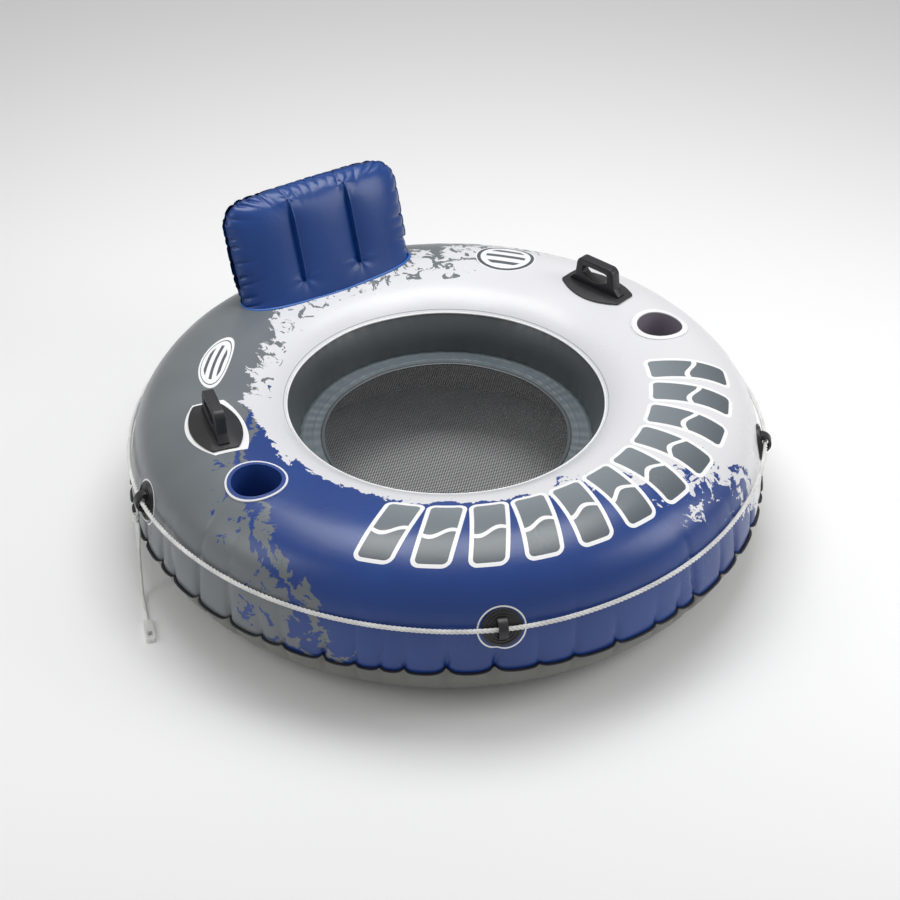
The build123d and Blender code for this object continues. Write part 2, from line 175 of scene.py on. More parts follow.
# %% [markdown]
# ## The ring's section
# Air pulls the film into smooth arcs. The section runs from the lip over the crown and down the side to the
# outer seam, and from there under the ring to the band that carries the mesh. The arcs are those of the CAD
# model. Distances along the film are kept, because the print and the creases are laid out along it.

# %% The section's arcs
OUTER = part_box("top_panel")[1][0]
CROWN_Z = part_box("top_panel")[1][2]
LIP_R, LIP_Z = 0.338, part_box("inner_wall")[1][2]
BAND_R, BAND_Z = 0.313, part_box("inner_wall")[0][2]
MESH_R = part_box("mesh_floor")[1][0]
SEAM_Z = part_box("top_panel")[0][2]
CROWN_R = 0.512


def arc(start, heading, radius, turn, count):
    """Points of an arc from a start and a heading in degrees; a negative turn is clockwise."""
    side_of = 1 if turn > 0 else -1
    normal = np.array([-sin(radians(heading)), cos(radians(heading))])
    centre = np.array(start) + radius * side_of * normal
    first = atan2(start[1] - centre[1], start[0] - centre[0])
    angles = first + np.radians(turn) * np.linspace(0, 1, count)
    return centre + radius * np.stack([np.cos(angles), np.sin(angles)], 1)


inner_crown = arc((CROWN_R, CROWN_Z), 180, 0.450, 14, 12)
inner_lip = arc(inner_crown[-1], 194, 0.1364, 32, 14)
inner_lip += (np.array([LIP_R, LIP_Z]) - inner_lip[-1]) * np.linspace(0, 1, 14)[:, None] ** 2
outer_crown = arc((CROWN_R, CROWN_Z), 0, 0.200, -28, 14)
shoulder = arc(outer_crown[-1], -28, 0.105, -42, 16)
side_radius = (OUTER - shoulder[-1, 0]) / (1 - cos(radians(20)))
side = arc(shoulder[-1], -70, side_radius, -20, 16)
EQUATOR_Z = side[-1, 1]
under = arc(side[-1], -90, EQUATOR_Z, -90, 40)
inner_under = arc((BAND_R + BAND_Z, 0), 180, BAND_Z, -90, 40)
whole = np.vstack([inner_lip[::-1], inner_crown[::-1][1:], outer_crown[1:], shoulder[1:], side[1:], under[1:],
                   inner_under])
along = np.r_[0, np.cumsum(np.linalg.norm(np.diff(whole, axis=0), axis=1))]
S_CROWN = along[len(inner_lip) + len(inner_crown) - 2]
under_from = len(inner_lip) + len(inner_crown) + len(outer_crown) + len(shoulder) + len(side) - 5
S_EQUATOR = along[under_from]
S_SEAM = S_EQUATOR + EQUATOR_Z * np.arcsin((EQUATOR_Z - SEAM_Z) / EQUATOR_Z)
S_BAND = along[-1]


def section(s):
    """Radius and height of the film, and its outward normal, at a distance along it from the lip."""
    s = np.asarray(s, float)
    r, z = np.interp(s, along, whole[:, 0]), np.interp(s, along, whole[:, 1])
    step = 2 * MM
    low, high = np.clip(s - step, 0, S_BAND), np.clip(s + step, 0, S_BAND)
    dr = np.interp(high, along, whole[:, 0]) - np.interp(low, along, whole[:, 0])
    dz = np.interp(high, along, whole[:, 1]) - np.interp(low, along, whole[:, 1])
    size = np.hypot(dr, dz)
    return r, z, -dz / size, dr / size


print(f"film from lip: crown {S_CROWN:.3f} m, seam {S_SEAM:.3f} m, band {S_BAND:.3f} m")

# %% [markdown]
# ## Creases along the outer seam
# A flat sheet can't be welded into a ring without gathering. Each gather is a sharp crease that starts at the
# seam, runs up the side and fades, and the film bulges between one crease and the next, so the seam hangs in
# shallow scallops. The creases are as uneven as real ones, so a seeded list holds each one's place, depth,
# width and length, and one function turns the list into a movement of the film.

# %% The creases
crease_angles = []
turned = -180.0
while turned < 178.0:
    crease_angles.append(turned)
    turned += float(rng.uniform(3.8, 8.2))
creases = len(crease_angles)
crease_angles = np.array(crease_angles)
crease_depth = rng.uniform(6.0, 14.0, creases) * MM
crease_width = rng.uniform(6.0, 13.0, creases) * MM
crease_rise = rng.uniform(45, 120, creases) * MM
crease_slant = rng.uniform(-0.16, 0.16, creases)


def gathered(phi, s):
    """How far the film moves inwards and upwards at an angle and a distance along it, near the seam."""
    height = s - S_SEAM
    inwards, upwards = np.zeros_like(s), np.zeros_like(s)
    gap = (phi[..., None] - crease_angles + 180) % 360 - 180
    nearest = np.abs(gap) * radians(1) * OUTER
    above = np.clip(-height, 0, None)[..., None]
    below = np.clip(height, 0, None)[..., None]
    shifted = np.abs(gap * radians(1) * OUTER - crease_slant * (above - below))
    fade = np.exp(-(above / crease_rise) ** 1.6 - (below / (0.55 * crease_rise)) ** 1.6)
    width = crease_width * (0.55 + 0.9 * (above + below) / crease_rise)
    valley = np.exp(-shifted / width)
    inwards += (crease_depth * fade * valley).sum(-1)
    upwards += (0.75 * crease_depth * fade * np.exp(-nearest / (2.0 * crease_width))).sum(-1)
    near_seam = np.exp(-(height / 0.05) ** 2)
    inwards += near_seam * (-1.5 * MM)
    upwards += near_seam * (-2.5 * MM)
    return inwards, upwards


def waves(phi, s, seed, size):
    """A slow, seamless unevenness of the film, about one unit each way."""
    local = np.random.default_rng(seed)
    total = np.zeros_like(s)
    for _ in range(7):
        turns = local.integers(3, 15)
        total += np.sin(np.radians(phi) * turns + s / size * local.uniform(0.6, 1.8) + local.uniform(0, 6.28))
    return total / 3.0


print(creases, "creases along the seam")

# %% [markdown]
# ## A turned sheet
# Every skin of the ring is a grid: columns round the ring and rows along the film. Its UV map holds the
# angle as a share of a turn and the distance along the film in metres, so a print can be laid out on the
# flat sheet as a printer does, and it stays in place where the film is creased.


# %% Turned sheets
def turned_sheet(name, rows, columns, shape, material, outwards=True):
    """A skin of revolution. shape(phi, s) gives radius and height for whole arrays of both."""
    phi = np.linspace(-180, 180, columns, endpoint=False)
    grid_phi, grid_s = np.meshgrid(phi, rows, indexing="ij")
    r, z = shape(grid_phi, grid_s)
    points = np.stack([r * np.sin(np.radians(grid_phi)), -r * np.cos(np.radians(grid_phi)), z], -1)
    count = len(rows)
    column, row = np.meshgrid(np.arange(columns), np.arange(count - 1), indexing="ij")
    after = (column + 1) % columns
    corners = [column * count + row, column * count + row + 1, after * count + row + 1, after * count + row]
    if not outwards:
        corners = corners[::-1]
    faces = np.stack([c.ravel() for c in corners], 1)
    made = mesh_object(name, points.reshape(-1, 3), faces, material)
    turns = np.stack([column, column, column + 1, column + 1], -1).reshape(-1, 4) / columns
    lengths = np.stack([rows[row], rows[row + 1], rows[row + 1], rows[row]], -1).reshape(-1, 4)
    if not outwards:
        turns, lengths = turns[:, ::-1], lengths[:, ::-1]
    layer = made.data.uv_layers.new(name="film")
    layer.data.foreach_set("uv", np.stack([turns.ravel(), lengths.ravel()], 1).ravel())
    return made


def skin_shape(phi, s):
    """The top sheet and the underside: the section's arcs, moved by the creases and the slow waves."""
    r, z, nr, nz = section(s)
    inwards, upwards = gathered(phi, s)
    lift = 0.9 * MM * waves(phi, s, 5, 0.15) * np.clip(s / 0.05, 0, 1) * np.clip((S_BAND - s) / 0.05, 0, 1)
    off_ground = np.clip(z / 0.03, 0, 1)
    out = (lift - inwards) * off_ground
    return r + nr * out, np.maximum(z + nz * out + upwards * off_ground, 0.0)


def wall_shape(phi, s):
    """The inner wall: an arc from the band up to the lip, a little slack near both welds."""
    share = s / WALL_LENGTH
    angle = radians(31.0) * share
    radius = (LIP_Z - BAND_Z) / sin(radians(31.0))
    r = BAND_R + radius * (1 - np.cos(angle)) * (LIP_R - BAND_R) / (radius * (1 - cos(radians(31.0))))
    z = BAND_Z + radius * np.sin(angle)
    pucker = np.sin(np.radians(phi) * 47 + 1.3 * np.sin(np.radians(phi) * 9)) * np.exp(-s / 0.016)
    pucker += 0.6 * np.sin(np.radians(phi) * 61 + 2.1 * np.sin(np.radians(phi) * 7)) * np.exp(
        -(WALL_LENGTH - s) / 0.014)
    ends = np.sin(np.pi * share) ** 0.5
    return r + (0.9 * pucker + 0.8 * waves(phi, s, 8, 0.1) * ends) * MM, z


WALL_LENGTH = 0.0945
COLUMNS = 1080
top_rows = np.r_[np.linspace(0, 0.02, 5), np.linspace(0.032, S_SEAM - 0.13, 27), np.linspace(
    S_SEAM - 0.122, S_SEAM, 19)]
under_rows = np.r_[np.linspace(S_SEAM, S_SEAM + 0.07, 11), np.linspace(S_SEAM + 0.084, S_BAND, 24)]

# %% [markdown]
# ## PVC film
# The skins are calendered PVC: film squeezed between polished rollers, about half a millimetre thick. It is
# smooth but never quite even, so it has a semi-gloss shine that breaks up a little: a slow cloudiness from
# the rollers, a faint grain about 1.5 mm across, and fine stretch marks. PVC's index of refraction is about
# 1.53. One function builds that finish, and each skin gives it a colour, either one value or the end of a
# print.


# %% PVC film
def pvc_film(name, colour, roughness=0.33):
    """Calendered PVC. colour is a hex value, or a function that takes the tree and gives a colour socket."""
    material = bpy.data.materials.new(name)
    material.use_nodes = True
    tree = material.node_tree
    shader = tree.nodes["Principled BSDF"]
    place_on = add(tree, "ShaderNodeTexCoord").outputs["Object"]
    cloud = add(tree, "Noise", sockets={"Vector": place_on, "Scale": 7.0, "Detail": 3.0})
    grain = add(tree, "Noise", sockets={"Vector": place_on, "Scale": 650.0, "Detail": 2.0})
    stretch = add(tree, "Noise", sockets={"Vector": place_on, "Scale": 42.0, "Detail": 4.0,
                                                       "Roughness": 0.55, "Distortion": 0.6})
    rough = add(tree, "MapRange", sockets={
        "Value": cloud, "From Min": 0.1, "From Max": 0.9, "To Min": roughness - 0.08,
        "To Max": roughness + 0.10})
    tree.links.new(rough.outputs[0], shader.inputs["Roughness"])
    if callable(colour):
        base = colour(tree, place_on)
    else:
        dim = add(tree, "MapRange", sockets={"Value": cloud, "From Min": 0.1, "From Max": 0.9,
                                            "To Min": 0.84, "To Max": 1.14})
        base = add(tree, "VectorMath:SCALE", linear(colour)[:3], sockets={"Scale": dim})
    tree.links.new(base if callable(colour) else base.outputs[0], shader.inputs["Base Color"])
    shader.inputs["IOR"].default_value = 1.53
    shader.inputs["Coat Weight"].default_value = 0.06
    shader.inputs["Coat Roughness"].default_value = 0.16
    height = add(tree, "Math:MULTIPLY_ADD", stretch, 1.6, grain)
    bump = add(tree, "Bump", sockets={"Strength": 0.30, "Distance": 0.0006, "Height": height})
    tree.links.new(bump.outputs["Normal"], shader.inputs["Normal"])
    return material


grey_film = pvc_film("calendered PVC, grey underside", "#70706B")
wall_film = pvc_film("calendered PVC, graphite wall", "#4B5053", 0.36)
band_film = pvc_film("calendered PVC, slate band", "#5E686D", 0.38)
blue_film = pvc_film("calendered PVC, blue backrest", "#0B3B80", 0.31)
backrest_weld = pvc_film("welded PVC edge, dark blue", "#1A3A74", 0.40)
weld_film = pvc_film("welded PVC edge, black", "#26262A", 0.42)
blue_weld = pvc_film("welded PVC bead, mid blue", "#2C63B0", 0.34)
white_film = pvc_film("calendered PVC, white", "#EDEDEE", 0.34)


def rim_colour(centre, edge, inner):
    """A function for pvc_film: an inner colour with a thin white line round the outer edge of a rim."""
    def colour(tree, place_on):
        from_middle = add(tree, "VectorMath:SUBTRACT", place_on, tuple(centre))
        level = add(tree, "VectorMath:MULTIPLY", from_middle, (1, 1, 0))
        away = add(tree, "VectorMath:LENGTH", level).outputs["Value"]
        at_edge = add(tree, "Math:GREATER_THAN", away, edge)
        node = add(tree, "ShaderNodeMix", at_edge, data_type="RGBA")
        node.inputs[6].default_value, node.inputs[7].default_value = linear(inner), linear("#E4E4E6")
        return node.outputs[2]
    return colour


rim_left = pvc_film("calendered PVC, blue cup rim", rim_colour(place(-80, 0.513), 0.0580, "#1B3F86"), 0.34)
cup_blue = pvc_film("calendered PVC, blue cup", "#28478C", 0.34)
cup_mauve = pvc_film("calendered PVC, mauve cup", "#8B8490", 0.36)

# %% [markdown]
# ## The print on the top sheet
# The sheet is white film, printed flat in two colours and torn edges, then welded. A printer thinks in
# distances on the flat sheet, so this material does too: it reads the film's UV map, and each edge is a
# curve that gives a distance along the film for each angle. Noise that moves the edge makes it look torn, and
# a second, finer noise scatters flecks beside it. The marks are rounded boxes and ovals, each a few
# nodes of distance, and they are plain bars and stripes that spell nothing.

# %% The print's edges
white_edge = [(-180, 200), (-170, 190), (-160, 130), (-150, 100), (-142, 92), (-125, 98), (-115, 92),
              (-108, 84), (-100, 84), (-60, 86), (-20, 88), (-10, 97), (-3, 130), (2, 160), (8, 200),
              (13, 245), (18, 272), (25, 300), (31, 350), (36, 440), (39, 600), (134, 600), (137, 305),
              (143, 240), (150, 215), (160, 200), (180, 200)]
torn_size = [(-180, 34), (-150, 26), (-120, 24), (-105, 20), (-60, 16), (-15, 18), (0, 34), (12, 60),
             (30, 90), (40, 30), (130, 20), (145, 44), (180, 34)]
blue_edge = [(0, -125), (75, -112), (100, -106), (150, -98), (202, -83), (266, -74), (326, -67), (385, -62),
             (493, -58), (600, -57)]
GREATEST = 0.6
CONNECTORS = (-99.5, -25.0, 49.5, 120.0, 190.0)


def drawn_curve(tree, value, points):
    """A value put through a curve that is drawn through points, all from 0 to 1."""
    node = add(tree, "ShaderNodeFloatCurve", sockets={"Value": value})
    line = node.mapping.curves[0]
    while len(line.points) < len(points):
        line.points.new(0.5, 0.5)
    for point, (x, y) in zip(line.points, points):
        point.location = (x, y)
        point.handle_type = "VECTOR"
    node.mapping.update()
    return node


def share_of_turn(angle):
    """An angle round the ring as the print's map holds it."""
    return (angle + 180) / 360


def inked_edges(tree, place_on, turn, s):
    """Where the grey and blue inks lie, and where the blue one takes over, with torn edges and flecks."""
    node = partial(add, tree)
    tear = node("Noise", sockets={"Vector": place_on, "Scale": 15.0, "Detail": 7.0, "Roughness": 0.66,
                                  "Distortion": 0.5})
    fleck = node("Noise", sockets={"Vector": place_on, "Scale": 34.0, "Detail": 5.0, "Roughness": 0.62,
                                   "Distortion": 0.8})
    off_middle = node("Math:SUBTRACT", tear, 0.5)
    tear_size = drawn_curve(tree, turn, [(share_of_turn(a), d / 200) for a, d in torn_size])
    torn = node("Math:MULTIPLY", off_middle, node("Math:MULTIPLY", tear_size, 0.2 * 7.0))
    edge_share = drawn_curve(tree, turn, [(share_of_turn(a), d / 600) for a, d in white_edge])
    edge = node("Math:MULTIPLY", edge_share, GREATEST)
    past_white = node("Math:SUBTRACT", node("Math:SUBTRACT", s, edge), torn)
    inked = node("Math:GREATER_THAN", past_white, 0.0)

    step = drawn_curve(tree, node("Math:DIVIDE", s, GREATEST),
                       [(d / 600, share_of_turn(a)) for d, a in blue_edge])
    from_step = node("Math:MULTIPLY", node("Math:SUBTRACT", turn, step), 2 * pi * 0.55)
    ragged = node("Math:MULTIPLY_ADD", off_middle, 0.24, from_step)
    blue_side = node("Math:MULTIPLY", node("Math:GREATER_THAN", ragged, 0.0),
                     node("Math:LESS_THAN", turn, share_of_turn(100)))
    grey_strip = node("Math:COMPARE", ragged, 0.045, 0.013)
    blue_side = node("Math:MULTIPLY", blue_side, node("Math:SUBTRACT", 1.0, grey_strip))
    islands = node("Math:MULTIPLY", node("Math:GREATER_THAN", fleck, 0.60),
                   node("Math:COMPARE", from_step, -0.055, 0.05))
    blue_side = node("Math:MAXIMUM", blue_side, islands)

    # Flecks thicken towards the torn edge at the back, and splash both ways over it at the front right.
    out_to_edge = node("Math:DIVIDE", s, edge)
    thick_with = node("Math:GREATER_THAN", fleck, node("Math:MULTIPLY_ADD", out_to_edge, -0.13, 0.63))
    back_flecks = node("Math:MULTIPLY", node("Math:GREATER_THAN", out_to_edge, 0.40), thick_with)
    splash_flecks = node("Math:MULTIPLY", node("Math:GREATER_THAN", past_white, -0.085),
                         node("Math:GREATER_THAN", fleck, 0.552))
    from_front = node("Math:ABSOLUTE", node("Math:SUBTRACT", turn, 0.5))
    at_back = node("Math:GREATER_THAN", from_front, 118 / 360)
    at_splash = node("Math:COMPARE", turn, share_of_turn(18), 22 / 360)
    flecks = node("Math:MAXIMUM", node("Math:MULTIPLY", back_flecks, at_back),
                  node("Math:MULTIPLY", splash_flecks, at_splash))
    white_flecks = node("Math:MULTIPLY", node("Math:LESS_THAN", past_white, 0.05),
                        node("Math:LESS_THAN", fleck, 0.40))
    white_flecks = node("Math:MULTIPLY", white_flecks, at_splash)
    return node("Math:MULTIPLY", node("Math:MAXIMUM", inked, flecks),
                node("Math:SUBTRACT", 1.0, white_flecks)), blue_side


def slanted_bars(tree, turn, s, radius):
    """Masks of a row of slanted bars, each cut in two by one wave, and of their white outlines."""
    node = partial(add, tree)
    bars, first, last = 11, -51.0, 65.0
    half_wide, half_long, corner = 0.0305, 0.080, 0.010
    pitch = (last - first) / bars
    bar_y = node("Math:SUBTRACT", s, 0.188)
    share = node("Math:DIVIDE", node("Math:SUBTRACT", turn, share_of_turn(first)), pitch / 360)
    share = node("Math:MULTIPLY_ADD", bar_y, 1.9, share)
    local = node("Math:SUBTRACT", node("Math:FRACT", share), 0.5)
    bar_x = node("Math:MULTIPLY", local, node("Math:MULTIPLY", radius, radians(pitch)))
    out = [node("Math:SUBTRACT", node("Math:ABSOLUTE", at), half - corner)
           for at, half in ((bar_x, half_wide), (bar_y, half_long))]
    past = [node("Math:POWER", node("Math:MAXIMUM", way, 0.0), 2.0) for way in out]
    outside = node("Math:SQRT", node("Math:ADD", *past))
    inside = node("Math:MINIMUM", node("Math:MAXIMUM", *out), 0.0)
    bar = node("Math:SUBTRACT", node("Math:ADD", outside, inside), corner)
    in_row = node("Math:MULTIPLY", node("Math:GREATER_THAN", share, 0.0),
                  node("Math:LESS_THAN", share, float(bars)))
    ripple = node("Math:SINE", node("Math:MULTIPLY", turn, 2 * pi * 36))
    wave = node("Math:MULTIPLY_ADD", ripple, 0.011, 0.006)
    slit = node("Math:SUBTRACT", 0.0055, node("Math:ABSOLUTE", node("Math:SUBTRACT", bar_y, wave)))
    outline = node("Math:MULTIPLY", in_row, node("Math:LESS_THAN", bar, 0.0085))
    filled = node("Math:LESS_THAN", node("Math:MAXIMUM", bar, slit), 0.0)
    return outline, node("Math:MULTIPLY", in_row, filled)


def printed_colour(tree, place_on):
    """The print of the top sheet: white film, then one ink after another, each through its mask."""
    node = partial(add, tree)
    split = node("ShaderNodeSeparateXYZ", node("ShaderNodeUVMap", uv_map="film"))
    turn, s = split.outputs[0], split.outputs[1]
    level = node("VectorMath:MULTIPLY", place_on, (1, 1, 0))
    radius = node("VectorMath:LENGTH", level).outputs["Value"]
    inked, blue_side = inked_edges(tree, place_on, turn, s)

    outline, filled = slanted_bars(tree, turn, s, radius)

    dull = node("Noise", sockets={"Vector": place_on, "Scale": 5.0, "Detail": 2.0})
    shade = node("MapRange", sockets={"Value": s, "From Min": 0.11, "From Max": 0.27})
    grey_ink, blue_ink, bar_ink = [
        node("Mix", share, data_type="RGBA", sockets={6: linear(low), 7: linear(high)})
        for share, low, high in ((dull, "#62686C", "#767C80"), (dull, "#103273", "#1A4490"),
                                 (shade, "#7F888D", "#535B61"))]
    torn_ink = node("Mix", blue_side, data_type="RGBA", sockets={6: grey_ink, 7: blue_ink})
    layers = [(inked, torn_ink), (outline, linear("#F2F2F3")), (filled, bar_ink)]

    def from_centre(angle, distance):
        """Distances along the ring and along the film from a mark's centre, in metres."""
        round_ring = node("Math:MULTIPLY", radius, 2 * pi)
        turned_from = node("Math:SUBTRACT", turn, share_of_turn(angle))
        return node("Math:MULTIPLY", turned_from, round_ring), node("Math:SUBTRACT", s, distance)

    # Two plain ovals, at the left rear and the right rear, each with a line round it and three stripes.
    for angle, distance, half_x, half_y, stripes, line_at, line_half in (
            (-131, 0.171, 0.099, 0.031, 0.0075, 0.86, 0.02), (130.7, 0.198, 0.070, 0.062, 0.014, 0.90, 0.06)):
        x, y = from_centre(angle, distance)
        reach = node("Math:SQRT", node(
            "Math:ADD", node("Math:POWER", node("Math:DIVIDE", x, half_x), 2.0),
            node("Math:POWER", node("Math:DIVIDE", y, half_y), 2.0)))
        lines = node("Math:LESS_THAN", node("Math:PINGPONG", y, stripes), 0.42 * stripes)
        lines = node("Math:MULTIPLY", lines, node("Math:LESS_THAN", reach, 0.66))
        layers += [(node("Math:LESS_THAN", reach, 1.0), linear("#EFEFF0")),
                   (node("Math:COMPARE", reach, line_at, line_half), linear("#4F565B")),
                   (lines, linear("#565D62"))]

    # A white line rings each rope connector, and a white border runs round the left handle's patch.
    connector_s = float(along[np.argmin(np.hypot(whole[:, 0] - 0.668, whole[:, 1] - 0.215))])
    for angle in CONNECTORS:
        x, y = from_centre((angle + 180) % 360 - 180, connector_s)
        squares = node("Math:ADD", node("Math:MULTIPLY", x, x), node("Math:MULTIPLY", y, y))
        away_from = node("Math:SQRT", squares)
        layers.append((node("Math:COMPARE", away_from, 0.0458, 0.0016), linear("#F4F4F4")))
    x, y = from_centre(-103.0, S_CROWN + (0.500 - CROWN_R))
    barrel = node("Math:SUBTRACT", 0.0615, node("Math:MULTIPLY", node("Math:MULTIPLY", x, x), 3.4))
    border = node("Math:MULTIPLY", node("Math:LESS_THAN", node("Math:ABSOLUTE", y), barrel),
                  node("Math:LESS_THAN", node("Math:ABSOLUTE", x), 0.092))
    layers += [(border, linear("#F4F4F4")), (node("Math:COMPARE", s, 0.0085, 0.0011), linear("#A9ADB0"))]
    colour = linear("#DCDCDF")
    for mask, ink in layers:
        colour = node("Mix", mask, data_type="RGBA", sockets={6: colour, 7: ink})
    return colour.outputs[2]


printed_film = pvc_film("calendered PVC, printed top sheet", printed_colour, 0.30)
print("the print has", len(printed_film.node_tree.nodes), "nodes")

# %% [markdown]
# ## The ring's skins
# The top sheet and the underside share the section and the creases, so they meet all along the outer seam.
# Holes are cut for the cup holders. A narrow flange, left over where the sheets are welded together, runs
# round the seam and follows its scallops.

# %% The ring's skins
top_sheet = turned_sheet("top_sheet", top_rows, COLUMNS, skin_shape, printed_film, outwards=False)
CUP_PLACES = {"left": place(-80, 0.513), "right": place(80, 0.513)}
cut = bmesh.new()
cut.from_mesh(top_sheet.data)
inside = [face for face in cut.faces if any(
    (face.calc_center_median().xy - centre.xy).length < 0.0565 for centre in CUP_PLACES.values())]
bmesh.ops.delete(cut, geom=inside, context="FACES")
cut.to_mesh(top_sheet.data)
cut.free()
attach(top_sheet, "tube")
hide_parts("top_panel", "top_panel_cup_left", "top_panel_cup_right")

under_sheet = turned_sheet("under_sheet", under_rows, COLUMNS, skin_shape, grey_film, outwards=False)
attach(under_sheet, "tube")
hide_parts("bottom_panel")

wall_rows = np.linspace(0, WALL_LENGTH, 22)
wall_sheet = turned_sheet("inner_wall_sheet", wall_rows, 960, wall_shape, wall_film, outwards=True)
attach(wall_sheet, "tube")
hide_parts("inner_wall")


def profile_ring(name, columns, corners, centre_line, material):
    """A closed strip round the ring: corners of its section about a line that may wander."""
    phi = np.linspace(-180, 180, columns, endpoint=False)
    r, z = centre_line(phi)
    count = len(corners)
    sine, cosine = np.sin(np.radians(phi)), np.cos(np.radians(phi))
    rings = [np.stack([(r + out) * sine, -(r + out) * cosine, z + up], -1) for out, up in corners]
    points = np.stack(rings, 1).reshape(-1, 3)
    faces = [(c * count + k, c * count + (k + 1) % count, ((c + 1) % columns) * count + (k + 1) % count,
              ((c + 1) % columns) * count + k) for c in range(columns) for k in range(count)]
    return faces_out(mesh_object(name, points, faces, material))


def seam_line(phi):
    return skin_shape(phi, np.full_like(phi, S_SEAM))


def circle_section(radius, sides=8):
    return [(radius * cos(2 * pi * k / sides), radius * sin(2 * pi * k / sides)) for k in range(sides)]


seam_flange = profile_ring("seam_flange", COLUMNS, [(-0.003, -0.0009), (0.0055, -0.0012), (0.0070, -0.0003),
                                                    (0.0055, 0.0006), (-0.003, 0.0009)], seam_line, weld_film)
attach(seam_flange, "tube")
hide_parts("outer_seam")


def lip_line_at(phi):
    wobble = 0.35 * MM * waves(phi, np.zeros_like(phi), 12, 0.1)
    return np.full_like(phi, LIP_R - 0.0005) + wobble, np.full_like(phi, LIP_Z + 0.0012) + wobble


lip_bead = profile_ring("lip_bead", 720, circle_section(0.0021), lip_line_at, white_film)
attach(lip_bead, "tube")
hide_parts("lip_weld")
for skin in (top_sheet, under_sheet, wall_sheet, seam_flange):
    print(skin.name, len(skin.data.polygons), "faces")

# %% [markdown]
# ## The mesh seat
# The band is slate film welded flat under the wall, a little puckered by the stretch of the mesh. The mesh
# is knitted polyester, open enough to see the ground through. It is drawn as two families of straight
# threads that cross, five millimetres apart, so the holes show. Geometry Nodes lay the threads: one line is
# copied along a row, trimmed to the circle by its own length, turned, and given a flat section. A hem
# covers its edge.


# %% The band and the hem
def band_shape(phi, s):
    """From the wall's foot in to the hem: flat, with shallow radial puckers and one raised weld line."""
    r = BAND_R + 0.002 - s
    pucker = np.sin(np.radians(phi) * 58 + 1.7 * np.sin(np.radians(phi) * 8)) * 0.7 * MM
    pucker += waves(phi, s * 3, 21, 0.05) * 0.6 * MM
    weld = 0.9 * MM * (np.exp(-((s - 0.008) / 0.0022) ** 2) + np.exp(-((s - 0.031) / 0.0018) ** 2))
    return r, BAND_Z + 0.0010 + pucker * np.sin(np.pi * s / s.max()) ** 0.7 + weld


band_rows = np.linspace(0, BAND_R + 0.002 - MESH_R + 0.002, 26)
band_sheet = turned_sheet("mesh_band_sheet", band_rows, 720, band_shape, band_film, outwards=False)
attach(band_sheet, "tube")
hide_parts("mesh_band")


def hem_line(phi):
    wobble = waves(phi, np.zeros_like(phi), 31, 0.1)
    return MESH_R + 0.3 * MM * wobble, BAND_Z + 0.0014 + 0.2 * MM * wobble


hem_section = [(-0.0045, -0.0008), (0.0042, -0.0008), (0.0046, 0.0002), (0.0036, 0.0013), (0.0, 0.0018),
               (-0.0038, 0.0012), (-0.0048, 0.0002)]
hem = profile_ring("mesh_hem_binding", 720, hem_section, hem_line, wall_film)
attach(hem, "tube")
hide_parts("mesh_hem")

# %% [markdown]
# The net's tree takes a radius, a pitch and a thread's width and height. A line of points stands across the
# circle, one point per thread. Each gets a box that is one metre long, scaled to its own chord. The second
# family is the same one turned by a right angle, a thread's height lower.


# %% The net
def geometry_tree(name, inputs):
    """An empty Geometry Nodes tree with named inputs, and its two ends."""
    tree = bpy.data.node_groups.new(name, "GeometryNodeTree")
    tree.interface.new_socket("Geometry", in_out="INPUT", socket_type="NodeSocketGeometry")
    sockets = {}
    for label, value in inputs.items():
        sockets[label] = tree.interface.new_socket(label, in_out="INPUT", socket_type="NodeSocketFloat")
        sockets[label].default_value = value
    tree.interface.new_socket("Geometry", in_out="OUTPUT", socket_type="NodeSocketGeometry")
    start, end = tree.nodes.new("NodeGroupInput"), tree.nodes.new("NodeGroupOutput")
    return tree, start, end, {label: socket.identifier for label, socket in sockets.items()}


def baked(piece, tree, values, name, material):
    """The mesh that a tree makes on a piece, as a new plain object."""
    modifier = piece.modifiers.new(tree.name, "NODES")
    modifier.node_group = tree
    for identifier, value in values.items():
        modifier[identifier] = value
    whole_scene = bpy.context.evaluated_depsgraph_get()
    whole_scene.update()
    mesh = bpy.data.meshes.new_from_object(piece.evaluated_get(whole_scene), depsgraph=whole_scene)
    made = bpy.data.objects.new(name, mesh)
    scene.collection.objects.link(made)
    mesh.materials.clear()
    mesh.materials.append(material)
    bpy.data.objects.remove(piece)
    return made


def polymer(name, colour, roughness, grain_mm, depth_mm, ior=1.49):
    """A moulded or drawn polymer: even colour, soft grain of a stated size, and a slow change of shine."""
    material = bpy.data.materials.new(name)
    material.use_nodes = True
    tree = material.node_tree
    shader = tree.nodes["Principled BSDF"]
    place_on = add(tree, "ShaderNodeTexCoord").outputs["Object"]
    grain = add(tree, "Noise", sockets={"Vector": place_on, "Scale": 1000.0 / grain_mm, "Detail": 3.0})
    slow = add(tree, "Noise", sockets={"Vector": place_on, "Scale": 22.0, "Detail": 3.0})
    dim = add(tree, "MapRange", sockets={"Value": slow, "From Min": 0.3, "From Max": 0.7, "To Min": 0.86,
                                                   "To Max": 1.12})
    base = add(tree, "VectorMath:SCALE", linear(colour)[:3], sockets={"Scale": dim})
    rough = add(tree, "MapRange", sockets={"Value": slow, "From Min": 0.3, "From Max": 0.7,
                                                     "To Min": roughness - 0.06, "To Max": roughness + 0.06})
    bump = add(tree, "Bump", sockets={"Strength": 0.5, "Distance": depth_mm * MM, "Height": grain})
    tree.links.new(base.outputs[0], shader.inputs["Base Color"])
    tree.links.new(rough.outputs[0], shader.inputs["Roughness"])
    tree.links.new(bump.outputs["Normal"], shader.inputs["Normal"])
    shader.inputs["IOR"].default_value = ior
    return material


